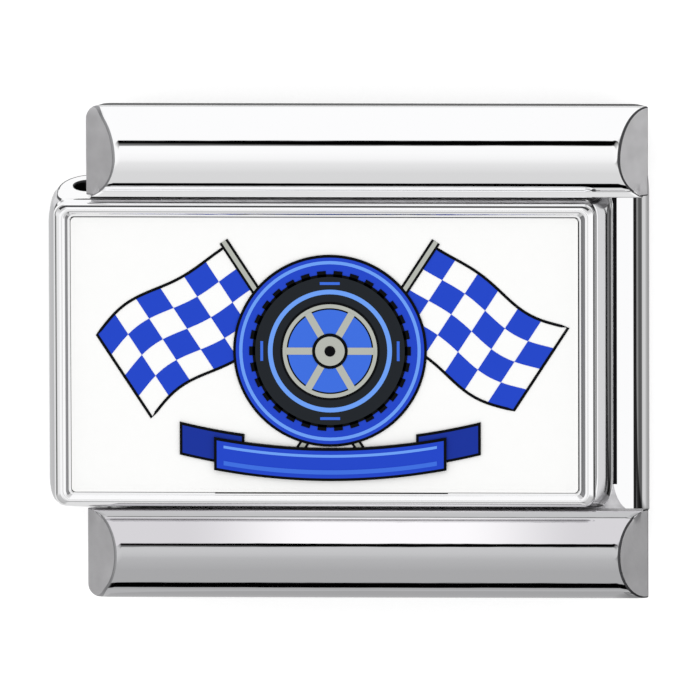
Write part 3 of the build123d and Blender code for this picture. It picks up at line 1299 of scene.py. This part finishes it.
    def chequers(self, side: int) -> Piece:
        """Grow the blue cells of one flag: blocks on every second point of a grid, which then wave.

        Args:
            side: -1 for the left flag, 1 for the right.

        Returns:
            The cells, one piece.
        """
        middle, way = self.hoist(side)
        growth = Growth(f"emblem_chequers_{'left' if side < 0 else 'right'}", {
            "Columns": self.cells[0], "Rows": self.cells[1], "Length": self.flag[0], "Height": self.flag[1],
            "Depth": self.wave[0], "Wave": self.wave[1], "Layer": self.cell_layers * self.layer})
        position = growth.add("GeometryNodeInputPosition")
        place = add_node(growth.tree, "ShaderNodeSeparateXYZ", {0: position}).outputs
        size = {socket.name: socket for socket in (*growth.size, place["X"], place["Y"], place["Z"])}
        size["Index"] = growth.add("GeometryNodeInputIndex")
        calculations = (  # result, operation, and what goes in
            ("Cell Length", "DIVIDE", "Length", "Columns"),
            ("Cell Height", "DIVIDE", "Height", "Rows"),
            ("Grid Length", "SUBTRACT", "Length", "Cell Length"),
            ("Grid Height", "SUBTRACT", "Height", "Cell Height"),
            ("Columns Before", "DIVIDE", "Index", "Rows"),
            ("Column", "FLOOR", "Columns Before"),
            ("Cells Before", "MULTIPLY", "Column", "Rows"),
            ("Row", "SUBTRACT", "Index", "Cells Before"),
            ("Diagonal", "ADD", "Column", "Row"),
            ("Odd", "MODULO", "Diagonal", 2.0),
            ("Along", "MULTIPLY_ADD", "Length", 0.5, "X"),
            ("Tau Along", "MULTIPLY", "Along", math.tau),
            ("Angle", "DIVIDE", "Tau Along", "Wave"),
            ("Sine", "SINE", "Angle"),
            ("Share", "DIVIDE", "Along", "Length"),
            ("Swing", "MULTIPLY", "Sine", "Share"),
            ("Lift", "MULTIPLY", "Swing", "Depth"),
            ("Across", "ADD", "Y", "Lift"),
        )
        for result, operation, *values in calculations:
            inputs = {at: size.get(value, value) for at, value in enumerate(values)}
            size[result] = growth.add("ShaderNodeMath", inputs, operation=operation)
        grid = growth.add("GeometryNodeMeshGrid", {
            "Size X": size["Grid Length"], "Size Y": size["Grid Height"],
            "Vertices X": size["Columns"], "Vertices Y": size["Rows"]})
        block = growth.add("ShaderNodeCombineXYZ", {
            "X": size["Cell Length"], "Y": size["Cell Height"], "Z": size["Layer"]})
        long, high, deep = self.cell_cuts
        cell = growth.add("GeometryNodeMeshCube", {
            "Size": block, "Vertices X": long, "Vertices Y": high, "Vertices Z": deep})
        blocks = growth.add("GeometryNodeInstanceOnPoints", {
            "Points": grid, "Selection": size["Odd"], "Instance": cell})
        real = growth.add("GeometryNodeRealizeInstances", {"Geometry": blocks})
        moved = growth.add("ShaderNodeCombineXYZ", {
            "X": size["Along"], "Y": size["Across"], "Z": size["Z"]})
        waved = growth.add("GeometryNodeSetPosition", {"Geometry": real, "Position": moved})
        flown = growth.add("GeometryNodeTransform", {
            "Geometry": waved, "Rotation": (0.0, 0.0, way),
            "Translation": self.origin + Vector((*middle, self.cell_layers / 2 * self.layer))})
        return growth.piece(flown, self.paint[Ink.ROYAL])

    def flag_lines(self, side: int) -> None:
        """Print a flag's outline and its pole.

        Args:
            side: -1 for the left flag, 1 for the right.
        """
        steps = [step / self.flag_steps for step in range(self.flag_steps + 1)]
        hem = (0.25, 0.5, 0.75)
        loop = [self.flag_point(side, along, 0.0) for along in steps]
        loop += [self.flag_point(side, 1.0, across) for across in hem]
        loop += [self.flag_point(side, along, 1.0) for along in reversed(steps)]
        loop += [self.flag_point(side, 0.0, across) for across in reversed(hem)]
        self.stroke(Ink.BLACK, loop, self.line, 3, closed=True)
        pole = (self.on_pole(side, self.pole[0] + self.pole_tip), self.on_pole(side, -self.pole[1]))
        for ink, width, layer in zip((Ink.BLACK, Ink.GREY), self.pole_widths, (4, 5)):
            self.stroke(ink, pole, width, layer)

    def radial(self, name: str, count: int, radius: float, block: Point, layer: int, ink: Ink) -> Piece:
        """Grow equal blocks round the wheel's middle.

        Args:
            name: The piece's name.
            count: How many.
            radius: Where their middles lie.
            block: Their sizes, away from the middle and round it.
            layer: Their layer.
            ink: Their ink.

        Returns:
            The piece.
        """
        growth = Growth(name, {"Count": count, "Radius": radius, "Reach": block[0], "Width": block[1],
                               "Layer": self.layer * (layer + 1)})
        size = growth.size
        circle = growth.add("GeometryNodeMeshCircle", {"Vertices": size["Count"], "Radius": size["Radius"]})
        place = growth.add("GeometryNodeInputPosition")
        outwards = growth.add("FunctionNodeAlignRotationToVector", {"Vector": place}, axis="X")
        sides = growth.add("ShaderNodeCombineXYZ", {
            "X": size["Reach"], "Y": size["Width"], "Z": size["Layer"]})
        cube = growth.add("GeometryNodeMeshCube", {"Size": sides})
        blocks = growth.add("GeometryNodeInstanceOnPoints", {
            "Points": circle, "Instance": cube, "Rotation": outwards})
        centre = self.origin + Vector((0.0, self.hub_height, self.layer * (layer + 1) / 2))
        moved = growth.add("GeometryNodeTransform", {"Geometry": blocks, "Translation": centre})
        return growth.piece(moved, self.paint[ink])

    def wheel(self) -> list[Piece]:
        """Print the roundel and the wheel on it.

        Returns:
            The pieces made of repeated blocks.
        """
        tyre = self.tyre
        near, far = self.roundel_line
        rings = (  # ink, inner radius, outer radius, layer
            (Ink.BLACK, self.pinhole, self.roundel + self.line, 6),
            (Ink.ROYAL, tyre * 0.9, self.roundel, 7),
            (Ink.LIGHT, self.roundel * near, self.roundel * far, 8),
            (Ink.BLACK, self.pinhole, tyre, 9),
            (Ink.TYRE, self.pinhole, tyre - self.line, 10),
            (Ink.LIGHT, tyre * 0.74, tyre * 0.80, 11),
            (Ink.BLACK, self.pinhole, tyre * 0.64, 11),
            (Ink.GREY, tyre * 0.56, tyre * 0.61, 12),
            (Ink.MID, tyre * 0.16, tyre * 0.54, 12),
            (Ink.BLACK, self.pinhole, tyre * 0.23, 14),
            (Ink.GREY, self.pinhole, tyre * 0.19, 15),
            (Ink.BLACK, self.pinhole, tyre * 0.07, 16),
        )
        for ink, inner, outer, layer in rings:
            self.ring(ink, (inner, outer), layer)
        blocks = (  # name, count, radius, sizes away from the middle and round it, layer, ink
            ("emblem_treads", self.treads, tyre, (0.12 * MM, 0.16 * MM), 9, Ink.BLACK),
            ("emblem_spokes", self.spokes, tyre * 0.38, (0.52 * MM, 0.13 * MM), 13, Ink.GREY),
            ("emblem_sidewall_marks", self.marks, tyre * 0.88, (0.05 * MM, 0.36 * MM), 11, Ink.MID),
        )
        return [self.radial(*block) for block in blocks]

    def ribbon_line(self, height: float, start: float, end: float) -> list[Point]:
        """A line along the ribbon.

        Args:
            height: Its height at the ribbon's middle.
            start: Where it starts.
            end: Where it ends.

        Returns:
            Its points.
        """
        places = [start + (end - start) * step / self.ribbon_steps for step in range(self.ribbon_steps + 1)]
        return [(place, height + self.ribbon_curl * place ** 2) for place in places]

    def ribbon_bands(self) -> None:
        """Print the ribbon and its folded tails under the wheel.

        Each is first a black band that stands out by the width of a line, and then its colour.
        """
        reach, tall = self.ribbon
        inwards, outwards = self.tail
        bands = []  # ink, layer, height of its foot, height of its top, start and end
        for side in (-1, 1):
            for grow, ink, layer in ((self.line, Ink.BLACK, 7), (0.0, Ink.DEEP, 8)):
                bands.append((ink, layer, self.tail_foot - grow, self.tail_foot + tall + grow,
                              side * (reach - inwards - grow), side * (reach + outwards + grow)))
        for grow, ink, layer in ((self.line, Ink.BLACK, 17), (0.0, Ink.ROYAL, 18)):
            bands.append((ink, layer, self.ribbon_foot - grow, self.ribbon_foot + tall + grow,
                          -reach - grow, reach + grow))
        for ink, foot, top in ((Ink.LIGHT, 0.76, 0.86), (Ink.MID, 0.14, 0.30)):
            bands.append((ink, 19, self.ribbon_foot + foot * tall, self.ribbon_foot + top * tall,
                          -reach * self.stripe_reach, reach * self.stripe_reach))
        for ink, layer, foot, top, start, end in bands:
            self.band(ink, self.ribbon_line(foot, start, end), self.ribbon_line(top, start, end), layer)


# --- Studio ---------------------------------------------------------------------------------------


@dataclass
class Studio:
    """The pale floor, the soft light, the surroundings that the steel mirrors, and the camera."""

    floor_size: float = 0.6
    floor_colour: str = "#dddddd"
    floor_glow: float = 0.5  # light that it adds where the camera sees it straight, as a light table does
    frame_width: float = 12.68 * MM  # what the view spans at the link
    distance: float = 0.4
    from_right: float = 2.0  # degrees
    from_top: float = 8.5
    roll: float = -0.17  # shares the skew of a two-way tilt between rows and columns
    aim: Vector = field(default_factory=lambda: Vector((-0.006, -0.1265, 1.75)) * MM)

    # Brightness by angle from straight up, in degrees: towards +Y and towards +X
    bands_across: Stops = (
        (-90, 0.78), (-78, 0.66), (-77, 0.0), (-62, 0.0), (-61, 0.69), (-34, 0.695), (-15, 0.8),
        (-6.4, 0.91), (5.8, 0.99), (8.7, 1.0), (9.3, 0.0), (14.9, 0.0), (15.5, 1.0))
    bands_along: Stops = (
        (-90, 0.05), (-80, 0.05), (-76, 0.8), (-50, 1.0), (13, 1.0), (15, 0.3), (22, 0.3), (25, 1.0),
        (82, 1.0), (83.5, 0.015))
    blend: float = 0.12  # how far apart a direction's X and Y are where one of these has taken over

    # Brightness of the corners between them by angle from straight up, and where it takes over:
    # by X times Y of the direction
    corners: Stops = ((0, 1.0), (35, 0.95), (60, 0.62), (78, 0.5), (90, 0.4))
    corner_blend: Point = (0.17, 0.36)
    dull_level: float = 0.93  # what the walls light matt surfaces with

    # Brightness of the floor as steel mirrors it, painted shade, by distance from the link's middle, in mm:
    # along Y and along X
    floor_across: Stops = ((-30, 0.64), (-3, 0.64), (3.3, 1.0))
    # Painted shadow under the rails, as steel mirrors the floor, by distance from the middle line
    painted_shadow_under_rails: Stops = ((0, 1.0), (3.3, 1.0), (3.5, 0.1), (5.0, 0.1), (5.6, 1.0))
    floor_along: Stops = (
        (-30, 0.76), (-4, 0.76), (0, 0.4), (5.9, 0.35), (6.3, 0.64), (7.2, 0.64), (7.4, 0.1), (11, 0.1),
        (11.3, 0.25), (24, 0.25), (25, 0.02))
    floor_reach: float = 30 * MM  # what those distances reach at most
    beside: Point = (4.7 * MM, 5.0 * MM)  # how far out the floor beside the link starts, and has taken over
    left_end: Point = (-4.65 * MM, -4.85 * MM)  # where the painted shadow under the rails fades, and has ended
    top_end: Point = (3.6 * MM, 3.2 * MM)  # the same, from the top edge downwards

    lamp_size: Point = (0.12, 0.08)
    lamp_power: float = 0.02  # watts
    lamp_place: Triple = (-0.03, 0.05, 0.12)

    def build(self) -> None:
        """Set up everything round the link."""
        self.floor()
        self.surroundings()
        self.lamp()
        self.camera()

    def floor(self) -> None:
        """A plain white floor under the link, seen through from below."""
        bm = bmesh.new()
        bmesh.ops.create_grid(bm, x_segments=1, y_segments=1, size=self.floor_size / 2)
        made = bpy.data.materials.new("studio_floor")
        made.use_nodes = True
        tree = made.node_tree
        tree.nodes.clear()
        rays = add_node(tree, "ShaderNodeLightPath").outputs
        seen = add_node(tree, "ShaderNodeMath", {0: rays["Is Camera Ray"], 1: rays["Is Transmission Ray"]},
                        operation="MAXIMUM")
        glow = add_node(tree, "ShaderNodeMath", {0: seen.outputs[0], 1: self.floor_glow},
                        operation="MULTIPLY")
        light = add_node(tree, "ShaderNodeEmission", {"Color": WHITE_LIGHT, "Strength": glow.outputs[0]})
        paint = add_node(tree, "ShaderNodeBsdfDiffuse", {"Color": linear(self.floor_colour)})
        both = add_node(tree, "ShaderNodeAddShader", {0: light.outputs[0], 1: paint.outputs[0]})
        mirrored = add_node(tree, "ShaderNodeEmission", {
            "Color": self.mirrored_floor(tree), "Strength": 1.0})
        upper = add_node(tree, "ShaderNodeMixShader", {
            0: rays["Is Glossy Ray"], 1: both.outputs[0], 2: mirrored.outputs[0]})
        clear = add_node(tree, "ShaderNodeBsdfTransparent")
        underneath = add_node(tree, "ShaderNodeNewGeometry").outputs["Backfacing"]
        mix = add_node(tree, "ShaderNodeMixShader", {
            0: underneath, 1: upper.outputs[0], 2: clear.outputs[0]})
        add_node(tree, "ShaderNodeOutputMaterial", {"Surface": mix.outputs[0]})
        plane = mesh_object("floor", bm, (made,))

    def mirrored_floor(self, tree: bpy.types.NodeTree) -> Socket:
        """The floor's tones as steel mirrors them, as painted shade: grey near the link, and a painted
        shadow under its rails.

        Args:
            tree: The floor's node tree.

        Returns:
            The socket with the colour.
        """
        origin = add_node(tree, "ShaderNodeTexCoord").outputs["Object"]
        place = add_node(tree, "ShaderNodeSeparateXYZ", {"Vector": origin}).outputs
        out, away = (add_node(tree, "ShaderNodeMath", {0: place[axis]}, operation="ABSOLUTE").outputs[0]
                     for axis in "XY")
        across, along, painted_contact_shadow = (
            self.tones(tree, value, stops, self.floor_reach, MM)
            for value, stops in ((place["Y"], self.floor_across), (place["X"], self.floor_along),
                                 (away, self.painted_shadow_under_rails)))
        beside, left, top = (
            add_node(tree, "ShaderNodeMapRange", {
                "Value": value, "From Min": start, "From Max": end}).outputs[0]
            for value, (start, end) in ((out, self.beside), (place["X"], self.left_end),
                                        (place["Y"], self.top_end)))
        share = add_node(tree, "ShaderNodeMath", {0: beside, 1: top}, operation="MULTIPLY")
        tone = add_node(tree, "ShaderNodeMix", {
            MIX_SHARE: share.outputs[0], MIX_FIRST: across, MIX_SECOND: along}, data_type="RGBA")
        dark = add_node(tree, "ShaderNodeMix", {
            MIX_SHARE: left, MIX_FIRST: painted_contact_shadow, MIX_SECOND: WHITE_LIGHT}, data_type="RGBA")
        shaded = add_node(tree, "ShaderNodeVectorMath", {0: tone.outputs[MIXED], 1: dark.outputs[MIXED]},
                          operation="MULTIPLY")
        return shaded.outputs[0]

    @staticmethod
    def tones(tree: bpy.types.NodeTree, value: Socket, stops: Stops, most: float, unit: float) -> Socket:
        """Grey tone that follows a value through a list of stops.

        Args:
            tree: The node tree.
            value: The socket with the value.
            stops: Places and brightness, in rising order.
            most: The largest size that the value may have, either side of 0.
            unit: What the stops' places are measured in.

        Returns:
            The socket with the tone.
        """
        share = add_node(tree, "ShaderNodeMapRange", {"Value": value, "From Min": -most, "From Max": most})
        ramp = add_node(tree, "ShaderNodeValToRGB", {"Fac": share.outputs["Result"]})
        elements = ramp.color_ramp.elements
        for number, (at, level) in enumerate(stops):
            place = min(max(0.0, (at * unit / most + 1) / 2), 1.0)
            stop = elements[number] if number < 2 else elements.new(place)
            stop.position = place
            stop.color = (level, level, level, 1)
        return ramp.outputs["Color"]

    def surroundings(self) -> None:
        """White walls with dark slits between them, which polished steel mirrors as black lines."""
        world = bpy.data.worlds.new("studio")
        bpy.context.scene.world = world
        world.use_nodes = True
        tree = world.node_tree
        tree.nodes.clear()
        rays = add_node(tree, "ShaderNodeLightPath").outputs
        colour = add_node(tree, "ShaderNodeMix", {
            MIX_SHARE: rays["Is Glossy Ray"], MIX_FIRST: WHITE_LIGHT,
            MIX_SECOND: self.mirrored_walls(tree)}, data_type="RGBA")
        direct = add_node(tree, "ShaderNodeMath", {0: rays["Is Camera Ray"], 1: rays["Is Glossy Ray"]},
                          operation="MAXIMUM")
        level = add_node(tree, "ShaderNodeMapRange", {
            "Value": direct.outputs[0], "To Min": self.dull_level, "To Max": 1.0})
        sky = add_node(tree, "ShaderNodeBackground", {
            "Color": colour.outputs[MIXED], "Strength": level.outputs["Result"]})
        add_node(tree, "ShaderNodeOutputWorld", {"Surface": sky.outputs[0]})

    def mirrored_walls(self, tree: bpy.types.NodeTree) -> Socket:
        """The walls' tones as steel mirrors them, by direction.

        Args:
            tree: The world's node tree.

        Returns:
            The socket with the colour.
        """
        direction = add_node(tree, "ShaderNodeTexCoord").outputs["Generated"]
        way = add_node(tree, "ShaderNodeSeparateXYZ", {"Vector": direction}).outputs
        polar = add_node(tree, "ShaderNodeMath", {0: way["Z"]}, operation="ARCCOSINE").outputs[0]
        degrees = (math.pi / 2, math.pi / 180)  # the largest angle, and the stops' unit
        bands = []
        for axis, stops in (("Y", self.bands_across), ("X", self.bands_along)):
            side = add_node(tree, "ShaderNodeMath", {0: way[axis]}, operation="SIGN")
            angle = add_node(tree, "ShaderNodeMath", {0: polar, 1: side.outputs[0]}, operation="MULTIPLY")
            bands.append(self.tones(tree, angle.outputs[0], stops, *degrees))
        sizes = [add_node(tree, "ShaderNodeMath", {0: way[axis]}, operation="ABSOLUTE").outputs[0]
                 for axis in "XY"]
        lead, corner = (
            add_node(tree, "ShaderNodeMath", dict(enumerate(sizes)), operation=operation).outputs[0]
            for operation in ("SUBTRACT", "MULTIPLY"))
        share, into = (
            add_node(tree, "ShaderNodeMapRange", {
                "Value": value, "From Min": start, "From Max": end}).outputs[0]
            for value, (start, end) in ((lead, (-self.blend, self.blend)), (corner, self.corner_blend)))
        mirrored = add_node(tree, "ShaderNodeMix", {
            MIX_SHARE: share, MIX_FIRST: bands[0], MIX_SECOND: bands[1]}, data_type="RGBA")
        dimmed = add_node(tree, "ShaderNodeMix", {
            MIX_SHARE: into, MIX_FIRST: mirrored.outputs[MIXED],
            MIX_SECOND: self.tones(tree, polar, self.corners, *degrees)}, data_type="RGBA")
        return dimmed.outputs[MIXED]

    def lamp(self) -> None:
        """One large soft lamp overhead, a little behind the link's top edge."""
        data = bpy.data.lights.new("softbox", "AREA")
        data.shape = "RECTANGLE"
        data.size, data.size_y = self.lamp_size
        data.energy = self.lamp_power
        lamp = bpy.data.objects.new("softbox", data)
        lamp.location = self.lamp_place
        lamp.rotation_euler = (-Vector(self.lamp_place)).to_track_quat("-Z", "Y").to_euler()
        lamp.visible_glossy = False
        bpy.context.scene.collection.objects.link(lamp)

    def camera(self) -> None:
        """A long lens, nearly straight over the link."""
        data = bpy.data.cameras.new("camera")
        data.lens = data.sensor_width * self.distance / self.frame_width
        data.clip_start, data.clip_end = self.distance / 10, self.distance * 10
        camera = bpy.data.objects.new("camera", data)
        right, top = math.radians(self.from_right), math.radians(self.from_top)
        back = Vector((math.sin(right) * math.cos(top), math.sin(top), math.cos(right) * math.cos(top)))
        across = Vector((0, 1, 0)).cross(back).normalized()
        turn = Matrix((across, back.cross(across), back)).transposed().to_4x4()
        turn @= Matrix.Rotation(math.radians(self.roll), 4, "Z")
        camera.matrix_world = Matrix.Translation(self.aim + back * self.distance) @ turn
        bpy.context.scene.collection.objects.link(camera)
        bpy.context.scene.camera = camera


def main() -> None:
    """Build the link's pieces and report each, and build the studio."""
    logging.basicConfig(level=logging.INFO)
    bpy.context.scene.view_settings.view_transform = "Standard"
    parts = (
        Sleeve("front_sleeve", outward=1, slant=0.30 * MM, side=FINE_SIDE, tucked=0.063 * MM,
               # The top lip's EDGE finish is a painted shade line
               lip_finish=(Finish.EDGE, Finish.POLISH),
               relief={(1, 1): (0.20 * MM, 0.24 * MM), (-1, 1): (0.17 * MM, 0.5 * MM),
                       (-1, -1): (0.16 * MM, 0.45 * MM), (1, -1): (0.15 * MM, 0.5 * MM)}),
        Sleeve("rear_sleeve", outward=-1, longer=(0.07 * MM, 0.26 * MM),
               relief={(1, 1): (0.07 * MM, 0.5 * MM)}),
        FaceFrame(),
        EnamelPanel(),
        LeafSpring("front_spring", outward=1),
        LeafSpring("rear_spring", outward=-1),
        Bow("top_bow", 1, TOP_RAIL, TOP_RAIL, flank_taper=0.31 * MM, dome=0.465 * MM,
            apex_inwards=0.12 * MM),
        Bow("bottom_bow", -1, LOW_RAIL, LOW_OUTER, ledge=56.0, dome=0.565 * MM, apex_inwards=0.015 * MM),
        Emblem(),
    )
    for part in parts:
        for piece in part.build():
            LOG.info("%s: %s with %d faces", type(part).__name__, piece.name, len(piece.data.polygons))
    Studio().build()


if __name__ == "__main__":
    main()
